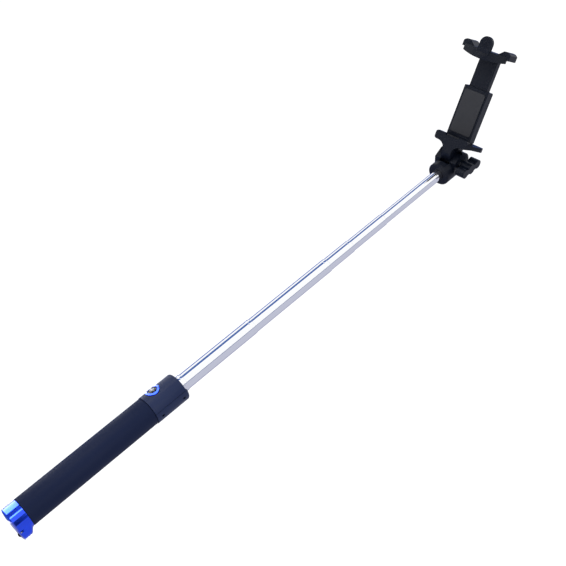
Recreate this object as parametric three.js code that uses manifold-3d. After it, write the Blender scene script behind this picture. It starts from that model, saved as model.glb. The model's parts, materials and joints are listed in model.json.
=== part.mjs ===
// A telescopic selfie stick: handle, six nested tubes, a fork head and a sprung phone clamp.
// Millimetres, +Z up. The origin is on the handle's axis, about halfway along the grip. X runs along the
// phone's long side, +Y away from the user, and the clamp stands upright on the sloping stick.
import * as THREE from "three";
import { mergeVertices } from "three/addons/utils/BufferGeometryUtils.js";
import Module from "manifold-3d";

const wasm = await Module();
wasm.setup();

// ---------------------------------------------------------------- driving dimensions
// Pose of the stick: its slope above the horizontal, how far the handle is turned so that its
// button looks up and a little to the left, and how far the end cap is turned.
const SLOPE = THREE.MathUtils.degToRad(32);
const BUTTON_TURN = THREE.MathUtils.degToRad(-114);
const CAP_TURN = THREE.MathUtils.degToRad(-146);

// Handle, measured along its axis from the end of the cap. HOLD is where the hand holds it.
const HOLD = 70;
const CAP_LENGTH = 10.95;
const CAP_DOME = 1;
const GRIP_LENGTH = 110.9;
const COLLAR_LENGTH = 30.3;
const GRIP_RADIUS = 11.55;
const GRIP_TAPER = 0.15;
const GRIP_WALL = 0.95;
const CORE_WALL = 0.7;
const COLLAR_RADIUS = 11.9;
const COLLAR_FACE = 1.8;
const LUG_RISE = 3.6;
const LUG_LENGTH = 7.2;

// Tubes, from the widest (tube_1, fixed in the handle) to the thinnest.
const TUBE_RADIUS = 7.05;
const TUBE_WALL = 0.25;
const TUBE_PLAY = 0.15;
const NECK_PLAY = 0.06;
const NECK_LENGTH = 6;
const TUBE_STUB = 3.7;
const TUBES_SHOWN = [5.35, 73.9, 90.2, 30.4, 44.6, 81.9];
const TUBE_START = 54.3;
const BUSH_FLANGE = 1.6;
const BUSH_SPIGOT = 4.4;
const BUSH_PLAY = 0.05;
const SOCKET_DEPTH = 8.5;

// Fork head, and its pivot measured from the head's face and up from the stick's axis.
const HEAD_RADIUS = 11.3;
const HEAD_FACE = 6.5;
const SOCKET_ROUND = 9.5;
const PIVOT_AHEAD = 20.5;
const PIVOT_RISE = 4.5;
const EAR_RADIUS = 11.6;
const STEM_WIDTH = 10;
const BARREL_RADIUS = 8.6;
const BOLT_RADIUS = 2;
const KNOB_START = 14.2;
const KNOB_THICK = 9.2;
const KNOB_REACH = 9.6;
const KNOB_LOBE = 4.3;

// Clamp, measured from the pivot: Y away from the user, Z up.
const REST_GAP = 78;
const SEAT_HEIGHT = 22.4;
const SLOT_FRONT = -13.6;
const SLOT_BACK = -4.6;
const LIP_THICK = 3;
const JAW_FRONT_HALF = 17.5;
const UPPER_FRONT_HALF = 22;
const UPPER_BACK_HALF = 23;
const LOBE_REACH = 24.6;
const JAW_BACK_HALF = 25;
const JAW_PLATE = 2.8;
const JAW_LOBE = 8.8;
const PAD_THICK = 1.2;
const HOUSING_HALF = 13;
const HOUSING_DEPTH = 9.2;
const HOUSING_TOP = 70;
const HOUSING_WALL = 1.6;
const SLIDER_HALF = 9.5;
const SLIDER_DEPTH = 5.2;
const SLIDER_OVERLAP = 24;
const SPRING_RADIUS = 2.3;
const SPRING_WIRE = 0.4;
const SPRING_TURNS = 10;

// Clearances.
const SEAM = 0.3; // between faces that meet
const FIT = 0.25; // between a piece and the pocket that holds it
const GLUE = 0.05; // between glued or pressed faces
const ROUND = 32; // sides of a round piece

// ---------------------------------------------------------------- solids
// A three.js geometry as one closed manifold-3d solid that faces outwards.
function solid(geometry) {
  const bare = new THREE.BufferGeometry();
  bare.setAttribute("position", geometry.getAttribute("position"));
  bare.setIndex(geometry.index);
  const merged = mergeVertices(bare, 1e-4);
  const corners = [];
  const all = merged.index.array;
  for (let i = 0; i < all.length; i += 3) {
    const [a, b, c] = [all[i], all[i + 1], all[i + 2]];
    if (a !== b && b !== c && a !== c) corners.push(a, b, c);
  }
  const vertProperties = merged.attributes.position.array;
  const make = (list) =>
    new wasm.Manifold(new wasm.Mesh({ numProp: 3, vertProperties, triVerts: new Uint32Array(list) }));
  const made = make(corners);
  return made.volume() > 0 ? made : make(corners.reverse());
}

// A profile of [radius, height] points turned about Z; it starts and ends on the axis.
function turned(profile, sides = ROUND) {
  const points = profile.map(([r, z]) => new THREE.Vector2(r, z));
  return solid(new THREE.LatheGeometry(points, sides).rotateX(Math.PI / 2));
}

// A closed ring profile turned about Z.
function ring(profile, sides = ROUND) {
  return turned([...profile, profile[0]], sides);
}

function tube(outer, inner, from, to, sides = ROUND) {
  return ring([[inner, from], [outer, from], [outer, to], [inner, to]], sides);
}

function rod(radius, from, to, sides = ROUND) {
  return turned([[0, from], [radius, from], [radius, to], [0, to]], sides);
}

function box(x0, x1, y0, y1, z0, z1) {
  const shape = new THREE.BoxGeometry(x1 - x0, y1 - y0, z1 - z0);
  return solid(shape.translate((x0 + x1) / 2, (y0 + y1) / 2, (z0 + z1) / 2));
}

// An outline of [x, y] points or a THREE.Shape, extruded along Z.
function prism(outline, from, to, curve = 4) {
  const drawn = outline instanceof THREE.Shape;
  const shape = drawn ? outline : new THREE.Shape(outline.map((p) => new THREE.Vector2(...p)));
  const settings = { depth: to - from, bevelEnabled: false, curveSegments: curve };
  return solid(new THREE.ExtrudeGeometry(shape, settings).translate(0, 0, from));
}

// An outline drawn in [y, z], extruded along X.
function sidePrism(outline, from, to, curve = 4) {
  return prism(outline, from, to, curve).rotate([90, 0, 90]);
}

// An outline drawn in [x, z], extruded along Y.
function frontPrism(outline, from, to, curve = 4) {
  return prism(outline, -to, -from, curve).rotate([90, 0, 0]);
}

// A solid about the Z axis laid along X or along Y.
const alongX = (body) => body.rotate([0, 90, 0]);
const alongY = (body) => body.rotate([-90, 0, 0]);

// A rectangle with round corners as a THREE.Shape.
function roundedRectangle(x0, x1, y0, y1, radius) {
  const s = new THREE.Shape();
  s.moveTo(x0 + radius, y0);
  s.lineTo(x1 - radius, y0);
  s.absarc(x1 - radius, y0 + radius, radius, -Math.PI / 2, 0);
  s.lineTo(x1, y1 - radius);
  s.absarc(x1 - radius, y1 - radius, radius, 0, Math.PI / 2);
  s.lineTo(x0 + radius, y1);
  s.absarc(x0 + radius, y1 - radius, radius, Math.PI / 2, Math.PI);
  s.lineTo(x0, y0 + radius);
  s.absarc(x0 + radius, y0 + radius, radius, Math.PI, 1.5 * Math.PI);
  return s;
}

// A skin through closed rings of equally many points, with a flat fan at both ends.
function lofted(rings) {
  const count = rings[0].length;
  const middle = (list) => list.reduce((s, p) => s.map((v, i) => v + p[i] / count), [0, 0, 0]);
  const points = [...rings.flat(), middle(rings[0]), middle(rings.at(-1))];
  const index = [];
  for (let i = 0; i < count; i++) {
    const j = (i + 1) % count;
    for (let k = 0; k + 1 < rings.length; k++) {
      const [a, b] = [k * count, (k + 1) * count];
      index.push(a + i, a + j, b + j, a + i, b + j, b + i);
    }
    const last = (rings.length - 1) * count;
    index.push(points.length - 2, j, i, points.length - 1, last + i, last + j);
  }
  const geometry = new THREE.BufferGeometry();
  geometry.setAttribute("position", new THREE.Float32BufferAttribute(points.flat(), 3));
  return solid(geometry.setIndex(index));
}

// A round section carried along a curve.
function swept(curve, radius, steps, sides = 8) {
  const section = new THREE.Shape();
  for (let i = 0; i < sides; i++) {
    const a = (i / sides) * 2 * Math.PI;
    section[i ? "lineTo" : "moveTo"](radius * Math.cos(a), radius * Math.sin(a));
  }
  return solid(new THREE.ExtrudeGeometry(section, { steps, extrudePath: curve, bevelEnabled: false }));
}

// ---------------------------------------------------------------- materials and groups
const finish = (color, roughness, metalness) =>
  new THREE.MeshStandardMaterial({ color, roughness, metalness });
const BLUE_CHROME = finish(0x1f45d8, 0.12, 1);
const CHROME = finish(0xe6e8ee, 0.06, 1);
const SOFT_TOUCH = finish(0x1c2233, 0.6, 0);
const BLACK_PLASTIC = finish(0x1a1f2d, 0.5, 0);
const GLOSS_BLACK = finish(0x08090c, 0.12, 0);
const RUBBER = finish(0x15171c, 0.8, 0);
const NYLON = finish(0xe8e4d6, 0.5, 0);
const STEEL = finish(0xb4b7bc, 0.3, 1);
const BRASS = finish(0xb8923c, 0.35, 1);
const BOARD_GREEN = finish(0x1d5a38, 0.5, 0);
const CELL_WRAP = finish(0x2f6fb0, 0.4, 0);
const WIRE_RED = finish(0xb01c1c, 0.5, 0);

const object = new THREE.Group();
const stick = new THREE.Group(); // z runs along the stick from the end of the cap, y points down
const handle = new THREE.Group(); // as stick, turned so that its x points out through the button
const cap = new THREE.Group(); // as handle, turned so that its -x points out through the lanyard lug
const clamp = new THREE.Group(); // upright, its origin on the pivot

function piece(group, name, material, body) {
  const mesh = body.getMesh();
  const geometry = new THREE.BufferGeometry();
  geometry.setAttribute("position", new THREE.BufferAttribute(mesh.vertProperties, 3));
  geometry.setIndex(new THREE.BufferAttribute(mesh.triVerts, 1));
  geometry.computeVertexNormals();
  const made = new THREE.Mesh(geometry, material);
  made.name = name;
  group.add(made);
}

// ---------------------------------------------------------------- stations along the stick
const GRIP_START = CAP_LENGTH + SEAM;
const COLLAR_START = CAP_LENGTH + GRIP_LENGTH + SEAM;
const COLLAR_END = CAP_LENGTH + GRIP_LENGTH + COLLAR_LENGTH;
const CORE_RADIUS = GRIP_RADIUS - GRIP_WALL - FIT;
const CORE_BORE = CORE_RADIUS - CORE_WALL;
const CORE_END = COLLAR_START + 2.4;
const COLLAR_BORE = CORE_RADIUS + FIT;

const tubeRadius = (k) => TUBE_RADIUS - (k - 1) * (TUBE_WALL + TUBE_PLAY);
const tubeBore = (k) => tubeRadius(k) - TUBE_WALL;
const tubeEnd = (k) => COLLAR_END + TUBES_SHOWN.slice(0, k).reduce((a, b) => a + b, 0);
const HEAD_START = tubeEnd(6);
const BUSH_LENGTH = BUSH_FLANGE + BUSH_SPIGOT;

// Where the foot of tube k's bush stands when the stick is closed, and so how long the tube is.
const closedFoot = (k) => TUBE_START + SEAM + (k - 2) * (BUSH_LENGTH + SEAM / 2);
const closedEnd = (k) => COLLAR_END + TUBES_SHOWN[0] + (k - 1) * TUBE_STUB;
const bushFoot = (k) => tubeEnd(k) - (closedEnd(k) - closedFoot(k));

// ---------------------------------------------------------------- handle
// The end cap: a round cap with a lanyard lug that swells out of its side.
const LANYARD_PIN = { x: -9.6, z: 1.6, radius: 0.6 };
const RING_RADIUS = 1.7;
const RING_WIRE = 0.5;
function endCap() {
  const radius = GRIP_RADIUS - GRIP_TAPER;
  const swell = (a) => {
    const off = Math.abs(Math.atan2(Math.sin(a - Math.PI), Math.cos(a - Math.PI)));
    return THREE.MathUtils.smoothstep(THREE.MathUtils.radToDeg(off), 16, 50);
  };
  const fade = (z) => 1 - THREE.MathUtils.smoothstep(z, LUG_LENGTH - 0.6, CAP_LENGTH - 0.4);
  const level = (z, inset) =>
    Array.from({ length: 96 }, (_, i) => {
      const a = (i / 96) * 2 * Math.PI;
      const r = radius - inset + LUG_RISE * (1 - swell(a)) * fade(z);
      return [r * Math.cos(a), r * Math.sin(a), z];
    });
  const levels = [[0, 4], [0.35, 1.6], [CAP_DOME, 0], [LUG_LENGTH - 0.6, 0], [7.6, 0], [8.6, 0], [9.6, 0]];
  const skin = lofted([...levels, [CAP_LENGTH - 0.4, 0], [CAP_LENGTH, 0]].map(([z, d]) => level(z, d)));
  const spigot = CORE_BORE - FIT;
  const hollow = [[0, 5], [spigot - 1.6, 5], [spigot - 1.6, CAP_LENGTH + 7], [0, CAP_LENGTH + 7]];
  const { x, z, radius: pin } = LANYARD_PIN;
  const slot = RING_RADIUS + RING_WIRE + 1.3;
  return skin
    .add(rod(spigot, CAP_LENGTH - 1, CAP_LENGTH + 6))
    .subtract(turned(hollow))
    .subtract(box(x - slot, x + 3, -1.1, 1.1, -1, z + 3.2))
    .subtract(alongY(rod(pin + GLUE, -16, 16, 12)).translate([x, 0, z]));
}
piece(cap, "end_cap", BLUE_CHROME, endCap());
const pinHalf = 3.6;
piece(cap, "lanyard_pin", STEEL,
  alongY(rod(LANYARD_PIN.radius, -pinHalf, pinHalf, 12)).translate([LANYARD_PIN.x, 0, LANYARD_PIN.z]));

// The ring hangs from the pin the way gravity pulls it.
const ringHang = RING_RADIUS - RING_WIRE - LANYARD_PIN.radius - 0.08;
const ringAngle = Math.atan2(-Math.sin(CAP_TURN) * Math.cos(SLOPE), Math.sin(SLOPE));
const ringBody = solid(new THREE.TorusGeometry(RING_RADIUS, RING_WIRE, 6, 20).rotateX(Math.PI / 2));
piece(cap, "lanyard_ring", STEEL, ringBody.translate([
  LANYARD_PIN.x - ringHang * Math.sin(ringAngle), 0, LANYARD_PIN.z - ringHang * Math.cos(ringAngle)]));

piece(handle, "core_tube", BLACK_PLASTIC, tube(CORE_RADIUS, CORE_BORE, GRIP_START, CORE_END));
const gripBore = GRIP_RADIUS - GRIP_WALL;
const gripEnd = CAP_LENGTH + GRIP_LENGTH;
piece(handle, "grip_sleeve", SOFT_TOUCH, ring([
  [gripBore, GRIP_START], [GRIP_RADIUS - GRIP_TAPER - 0.2, GRIP_START],
  [GRIP_RADIUS - GRIP_TAPER, GRIP_START + 0.3], [GRIP_RADIUS, gripEnd - 0.3],
  [GRIP_RADIUS - 0.2, gripEnd], [gripBore, gripEnd]]));

// The battery and its two leads, which run beside tube_1 to the charging board.
const BATTERY_START = CAP_LENGTH + 8.5;
const BATTERY_LENGTH = 29;
const LEAD_RADIUS = 0.45;
const LEAD_PLACE = { x: -TUBE_RADIUS - 1.35, y: 1.1 };
const batteryEnd = BATTERY_START + BATTERY_LENGTH;
piece(handle, "battery", CELL_WRAP, turned([
  [0, BATTERY_START], [5.8, BATTERY_START], [6.2, BATTERY_START + 0.4], [6.2, batteryEnd - 0.4],
  [5.8, batteryEnd], [2, batteryEnd], [2, batteryEnd + 0.8], [0, batteryEnd + 0.8]], 32));

// Two bushes centre tube_1 in the core; the rear one is also the stop at its foot.
const leadNotch = (from, to) => box(-11, LEAD_PLACE.x + 0.8, -1.9, 1.9, from, to);
const bushOuter = CORE_BORE - FIT;
const tubeSeat = TUBE_RADIUS + GLUE;
const stopFoot = TUBE_START - SEAM - 2;
piece(handle, "rear_bush", NYLON, ring([
  [2, stopFoot], [bushOuter, stopFoot], [bushOuter, TUBE_START + 6], [tubeSeat, TUBE_START + 6],
  [tubeSeat, TUBE_START - SEAM], [2, TUBE_START - SEAM]]).subtract(leadNotch(stopFoot - 1, TUBE_START + 7)));
const frontBushStart = CORE_END - 8;
piece(handle, "front_bush", NYLON, tube(bushOuter, tubeSeat, frontBushStart, CORE_END)
  .subtract(leadNotch(frontBushStart - 1, CORE_END + 1)));

// Boards, switches and the charging socket stand in the gap between tube_1 and the collar.
const BOARD_IN = TUBE_RADIUS + 0.55;
const BOARD_OUT = BOARD_IN + 0.8;
const BOARD_HALF = 5;
const BOARD_START = CORE_END + 0.7;
const BOARD_END = COLLAR_END - COLLAR_FACE - 1.4;
const BUTTON_STATION = COLLAR_START + 10.55;
const BEZEL_RADIUS = 5.75;
const BUTTON_RADIUS = 4;
const BUTTON_TRAVEL = 0.5;
const SWITCH_TOP = BOARD_OUT + 0.95;
const PLUNGER_FOOT = SWITCH_TOP + BUTTON_TRAVEL + 0.1;
piece(handle, "button_board", BOARD_GREEN,
  box(BOARD_IN, BOARD_OUT, -BOARD_HALF, BOARD_HALF, BOARD_START, BOARD_END));
piece(handle, "charge_board", BOARD_GREEN,
  box(-BOARD_OUT, -BOARD_IN, -BOARD_HALF, BOARD_HALF, BOARD_START, BOARD_END));
piece(handle, "tact_switch", STEEL,
  box(BOARD_OUT + GLUE, SWITCH_TOP, -2, 2, BUTTON_STATION - 2, BUTTON_STATION + 2));

for (const [name, y, material] of [["lead_red", 1, WIRE_RED], ["lead_black", -1, RUBBER]]) {
  const route = new THREE.CatmullRomCurve3([
    [-3.2, batteryEnd + 0.9], [-5.2, batteryEnd + 1.1], [-7.6, batteryEnd + 1.6],
    [LEAD_PLACE.x, batteryEnd + 3.4], [LEAD_PLACE.x, (batteryEnd + CORE_END) / 2],
    [LEAD_PLACE.x, BOARD_START - SEAM]].map(([x, z]) => new THREE.Vector3(x, y * LEAD_PLACE.y, z)));
  piece(handle, name, material, swept(route, LEAD_RADIUS, 18, 5));
}

// Charging socket and power switch look out through the lower shell.
const USB_START = BUTTON_STATION + 4.6;
const USB = { half: 3.6, tall: 2.8, top: COLLAR_RADIUS - 0.7, wall: 0.4 };
const usbShell = box(-USB.top, -BOARD_OUT - GLUE, -USB.half, USB.half, USB_START, USB_START + USB.tall);
piece(handle, "charge_socket", STEEL, usbShell.subtract(box(
  -USB.top - 1, -BOARD_OUT - 1, -USB.half + USB.wall, USB.half - USB.wall,
  USB_START + USB.wall, USB_START + USB.tall - USB.wall)));
const POWER_START = BOARD_START + 1.2;
const POWER_TRAVEL = 2.4;
const NUB = { half: 1.2, length: 2.6 };
const sliderFoot = -BOARD_OUT - 1.15;
piece(handle, "power_switch", STEEL,
  box(-BOARD_OUT - 0.95, -BOARD_OUT - GLUE, -1.8, 1.8, POWER_START, POWER_START + 6.6));
const nubStart = POWER_START + 0.8;
piece(handle, "power_slider", GLOSS_BLACK,
  box(sliderFoot - 0.6, sliderFoot, -2, 2, POWER_START + 0.1, nubStart + NUB.length + 0.6)
    .add(box(-COLLAR_RADIUS - 0.2, sliderFoot, -NUB.half, NUB.half, nubStart, nubStart + NUB.length)));

// The collar is split along its length into two half shells.
function collar(proud = 0, longer = 0) {
  const edge = 0.9;
  const [radius, end] = [COLLAR_RADIUS + proud, COLLAR_END + longer];
  const face = COLLAR_END - COLLAR_FACE;
  const mouth = TUBE_RADIUS + FIT;
  return ring([
    [COLLAR_BORE, COLLAR_START], [radius - 0.25, COLLAR_START],
    [radius, COLLAR_START + 0.25], [radius, end - edge],
    [radius - edge * 0.3, end - edge * 0.3], [radius - edge, end],
    [mouth, end], [mouth, face], [COLLAR_BORE, face]], 48);
}
const FAR = 30; // longer than any cut needs to be
const halfSpace = (x0, x1) => box(x0, x1, -FAR, FAR, COLLAR_START - 1, COLLAR_END + 1);
const seamHalf = 0.12;
const bezelSeat = alongX(rod(BEZEL_RADIUS + FIT, 0, FAR)).translate([0, 0, BUTTON_STATION]);
piece(handle, "collar_upper_shell", BLACK_PLASTIC,
  collar().intersect(halfSpace(seamHalf, FAR)).subtract(bezelSeat));
function lowerShell() {
  let body = collar(0.12, 0.9).intersect(halfSpace(-FAR, -seamHalf));
  const hole = FIT;
  body = body.subtract(box(-FAR, -BOARD_OUT, -USB.half - hole, USB.half + hole,
    USB_START - hole, USB_START + USB.tall + hole));
  body = body.subtract(box(-FAR, -BOARD_OUT, -NUB.half - hole, NUB.half + hole,
    nubStart - hole, nubStart + NUB.length + POWER_TRAVEL + hole));
  // Snap windows beside the seam, two on each side.
  for (const side of [-1, 1])
    for (const z of [COLLAR_START + 5.15, COLLAR_END - 4.15])
      body = body.subtract(box(-5.6, -4, Math.min(side * 8, side * FAR), Math.max(side * 8, side * FAR),
        z - 1.1, z + 1.1));
  return body;
}
piece(handle, "collar_lower_shell", BLACK_PLASTIC, lowerShell());

// The bezel's top follows the collar, a little proud of it; the button is a low dome in it.
const bezel = alongX(tube(BEZEL_RADIUS, BUTTON_RADIUS + FIT, PLUNGER_FOOT - 0.1, COLLAR_RADIUS + 2))
  .translate([0, 0, BUTTON_STATION])
  .intersect(rod(COLLAR_RADIUS + 0.45, COLLAR_START, COLLAR_END, 48));
piece(handle, "button_bezel", BLUE_CHROME, bezel);
const dome = COLLAR_RADIUS - 0.1;
piece(handle, "shutter_button", GLOSS_BLACK, alongX(turned([
  [0, PLUNGER_FOOT], [1.2, PLUNGER_FOOT], [1.2, PLUNGER_FOOT + 0.6], [BUTTON_RADIUS, PLUNGER_FOOT + 0.6],
  [BUTTON_RADIUS, dome], [3.4, dome + 0.35], [2.4, dome + 0.6], [1.2, dome + 0.75], [0, dome + 0.8]], 32))
  .translate([0, 0, BUTTON_STATION]));

// ---------------------------------------------------------------- telescopic tubes
// Tube k has an open foot and a mouth necked in to run on the tube inside it.
function telescopeTube(k, foot, end, necked = true) {
  const [outer, bore] = [tubeRadius(k), tubeBore(k)];
  if (!necked) return tube(outer, bore, foot, end);
  const mouth = tubeRadius(k + 1) + NECK_PLAY;
  const neck = end - NECK_LENGTH;
  return ring([
    [bore, foot], [outer, foot], [outer, neck], [outer - 0.07, end - 0.5], [outer - 0.12, end - 0.15],
    [mouth, end], [mouth, neck], [bore, neck - 0.6]]);
}
piece(stick, "tube_1", CHROME, telescopeTube(1, TUBE_START, tubeEnd(1)));

// The nylon bush in the foot of tube k runs in the bore of the tube outside it.
function footBush(k) {
  const foot = bushFoot(k);
  const flange = tubeBore(k - 1) - BUSH_PLAY;
  const spigot = tubeBore(k) - BUSH_PLAY;
  const hole = spigot - 1;
  return ring([
    [hole, foot], [flange, foot], [flange, foot + BUSH_FLANGE], [spigot, foot + BUSH_FLANGE],
    [spigot, foot + BUSH_LENGTH], [hole, foot + BUSH_LENGTH]]);
}
const T6_END = HEAD_START + SOCKET_DEPTH;
const setScrewHole = [0, 0, HEAD_START + 4.6];
const SET_SCREW = 1.25;
const downY = (body) => alongY(body);
for (let k = 2; k <= 6; k++) {
  piece(stick, `bush_${k}`, NYLON, footBush(k));
  const foot = bushFoot(k) + BUSH_FLANGE + GLUE;
  const body = k < 6 ? telescopeTube(k, foot, tubeEnd(k)) : telescopeTube(k, foot, T6_END, false)
    .subtract(downY(rod(SET_SCREW + FIT, 0, FAR, 12)).translate(setScrewHole));
  piece(stick, `tube_${k}`, CHROME, body);
}

// ---------------------------------------------------------------- fork head
// In the stick's frame y points down, so the ears rise towards -y.
const PIVOT = { y: -PIVOT_RISE, z: HEAD_START + PIVOT_AHEAD };
const STEM_HALF = STEM_WIDTH / 2;
const SLOT_HALF = STEM_HALF + FIT;
function forkHead() {
  const edge = 0.9;
  const back = HEAD_START + 12;
  const socket = turned([
    [0, HEAD_START], [HEAD_RADIUS - edge, HEAD_START], [HEAD_RADIUS, HEAD_START + edge],
    [HEAD_RADIUS, back], [0, back]], 48);
  // Cross-section of the fork: half round below the axis, straight-sided above it.
  const section = new THREE.Shape();
  const top = -PIVOT_RISE - EAR_RADIUS - 1;
  section.moveTo(-HEAD_RADIUS, top);
  section.lineTo(HEAD_RADIUS, top);
  section.lineTo(HEAD_RADIUS, 0);
  section.absarc(0, 0, HEAD_RADIUS, 0, Math.PI);
  section.lineTo(-HEAD_RADIUS, top);
  const bar = prism(section, HEAD_START + SOCKET_ROUND, PIVOT.z + EAR_RADIUS + 1, 24);
  // Side outline of the ears, round about the pivot.
  const outline = new THREE.Shape();
  outline.moveTo(HEAD_RADIUS, HEAD_START + 1.2);
  outline.lineTo(-HEAD_RADIUS, HEAD_START + 1.2);
  outline.lineTo(-HEAD_RADIUS, HEAD_START + SOCKET_ROUND);
  const lean = 0.16;
  outline.absarc(PIVOT.y, PIVOT.z, EAR_RADIUS, Math.PI + lean, Math.PI / 5, true);
  outline.lineTo(HEAD_RADIUS, PIVOT.z - 2);
  const ears = sidePrism(outline, -HEAD_RADIUS, HEAD_RADIUS, 18);
  const stemTop = -tubeRadius(6) - 1.8;
  const reach = PIVOT.z + FAR;
  return socket
    .add(bar.intersect(ears))
    .subtract(rod(tubeRadius(6) + FIT, HEAD_START - 1, T6_END + SEAM))
    .subtract(box(-SLOT_HALF, SLOT_HALF, -FAR, stemTop, HEAD_START + HEAD_FACE, reach))
    .subtract(box(-SLOT_HALF, SLOT_HALF, -FAR, FAR, PIVOT.z - BARREL_RADIUS - 1.2, reach))
    .subtract(alongX(rod(BOLT_RADIUS + GLUE, -FAR, FAR, 24)).translate([0, PIVOT.y, PIVOT.z]))
    .subtract(downY(rod(SET_SCREW + GLUE, 0, FAR, 12)).translate(setScrewHole));
}
piece(stick, "fork_head", BLACK_PLASTIC, forkHead());
piece(stick, "set_screw", STEEL,
  downY(rod(SET_SCREW, tubeBore(6) - 0.4, HEAD_RADIUS - 0.6, 12)).translate(setScrewHole));

// The bolt lies along X through both ears; its square head sits outside the left ear.
const atPivot = (body) => body.translate([0, PIVOT.y, PIVOT.z]);
const BOLT_END = KNOB_START + KNOB_THICK - 1.6;
const boltHead = box(-3, 3, -3, 3, -HEAD_RADIUS - SEAM - 2, -HEAD_RADIUS - SEAM);
piece(stick, "pivot_bolt", STEEL,
  atPivot(alongX(rod(BOLT_RADIUS, -HEAD_RADIUS - 1, BOLT_END, 24).add(boltHead))));
const washerAt = HEAD_RADIUS + 0.15;
piece(stick, "knob_washer", STEEL,
  atPivot(alongX(tube(4.2, BOLT_RADIUS + 0.1, washerAt, washerAt + 0.6, 32))));

// The wing knob: two round lobes joined by a narrower waist, on a round hub.
const INSERT_RADIUS = 3.1;
function wingKnob() {
  const lobes = (a) => [KNOB_REACH * Math.cos(a), KNOB_REACH * Math.sin(a)];
  const outline = new THREE.Shape();
  const waist = 3;
  outline.absarc(...lobes(0), KNOB_LOBE, -2.3, 2.3);
  const tip = [KNOB_REACH - KNOB_LOBE * Math.cos(0.84), KNOB_LOBE * Math.sin(0.84)];
  outline.quadraticCurveTo(0, waist - 0.6, -tip[0], tip[1]);
  outline.absarc(...lobes(Math.PI), KNOB_LOBE, Math.PI - 2.3, Math.PI + 2.3);
  outline.quadraticCurveTo(0, 0.6 - waist, tip[0], -tip[1]);
  const end = KNOB_START + KNOB_THICK;
  return prism(outline, KNOB_START, end, 10)
    .add(rod(4.9, washerAt + 0.75, end, 32))
    .subtract(rod(INSERT_RADIUS + GLUE, washerAt, end - 1.2, 24));
}
// Shapes above are drawn about Z; laid along X, their long side runs along the stick.
piece(stick, "wing_knob", BLACK_PLASTIC, atPivot(alongX(wingKnob())));
piece(stick, "knob_insert", BRASS,
  atPivot(alongX(tube(INSERT_RADIUS, BOLT_RADIUS + GLUE, washerAt + 0.9, BOLT_END + 0.3, 24))));

// ---------------------------------------------------------------- clamp
// Plan of a jaw plate: narrow at the front lip, wide at the back.
function jawPlan(frontHalf, front, back, backHalf = JAW_BACK_HALF) {
  const s = new THREE.Shape();
  const corner = 3;
  s.moveTo(-frontHalf + corner, front);
  s.lineTo(frontHalf - corner, front);
  s.quadraticCurveTo(frontHalf, front, frontHalf + 1, front + corner + 1);
  s.lineTo(backHalf, back - 5);
  s.quadraticCurveTo(backHalf + 0.4, back, backHalf - 3, back);
  s.lineTo(-backHalf + 3, back);
  s.quadraticCurveTo(-backHalf - 0.4, back, -backHalf, back - 5);
  s.lineTo(-frontHalf - 1, front + corner + 1);
  s.quadraticCurveTo(-frontHalf, front, -frontHalf + corner, front);
  return s;
}
// The back lobes of a jaw, which swell away from the phone: drawn in [x, height above the phone].
function jawLobes(inner, outer, depth0, depth1) {
  const lobe = (side) => {
    const s = new THREE.Shape();
    const low = PAD_THICK + 0.4;
    s.moveTo(side * outer, low);
    s.lineTo(side * inner, low);
    s.quadraticCurveTo(side * (inner + 5), low + 2, side * (outer - 7.5), JAW_LOBE - 0.6);
    s.quadraticCurveTo(side * (outer - 2.5), JAW_LOBE + 0.6, side * outer, JAW_LOBE - 2.4);
    return frontPrism(s, depth0, depth1, 7);
  };
  return lobe(-1).add(lobe(1));
}
const HOUSING_BACK = SLOT_BACK + HOUSING_DEPTH;
const lipFront = SLOT_FRONT - LIP_THICK;
const plateFrom = PAD_THICK + GLUE;
const plateTo = plateFrom + JAW_PLATE;

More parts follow.
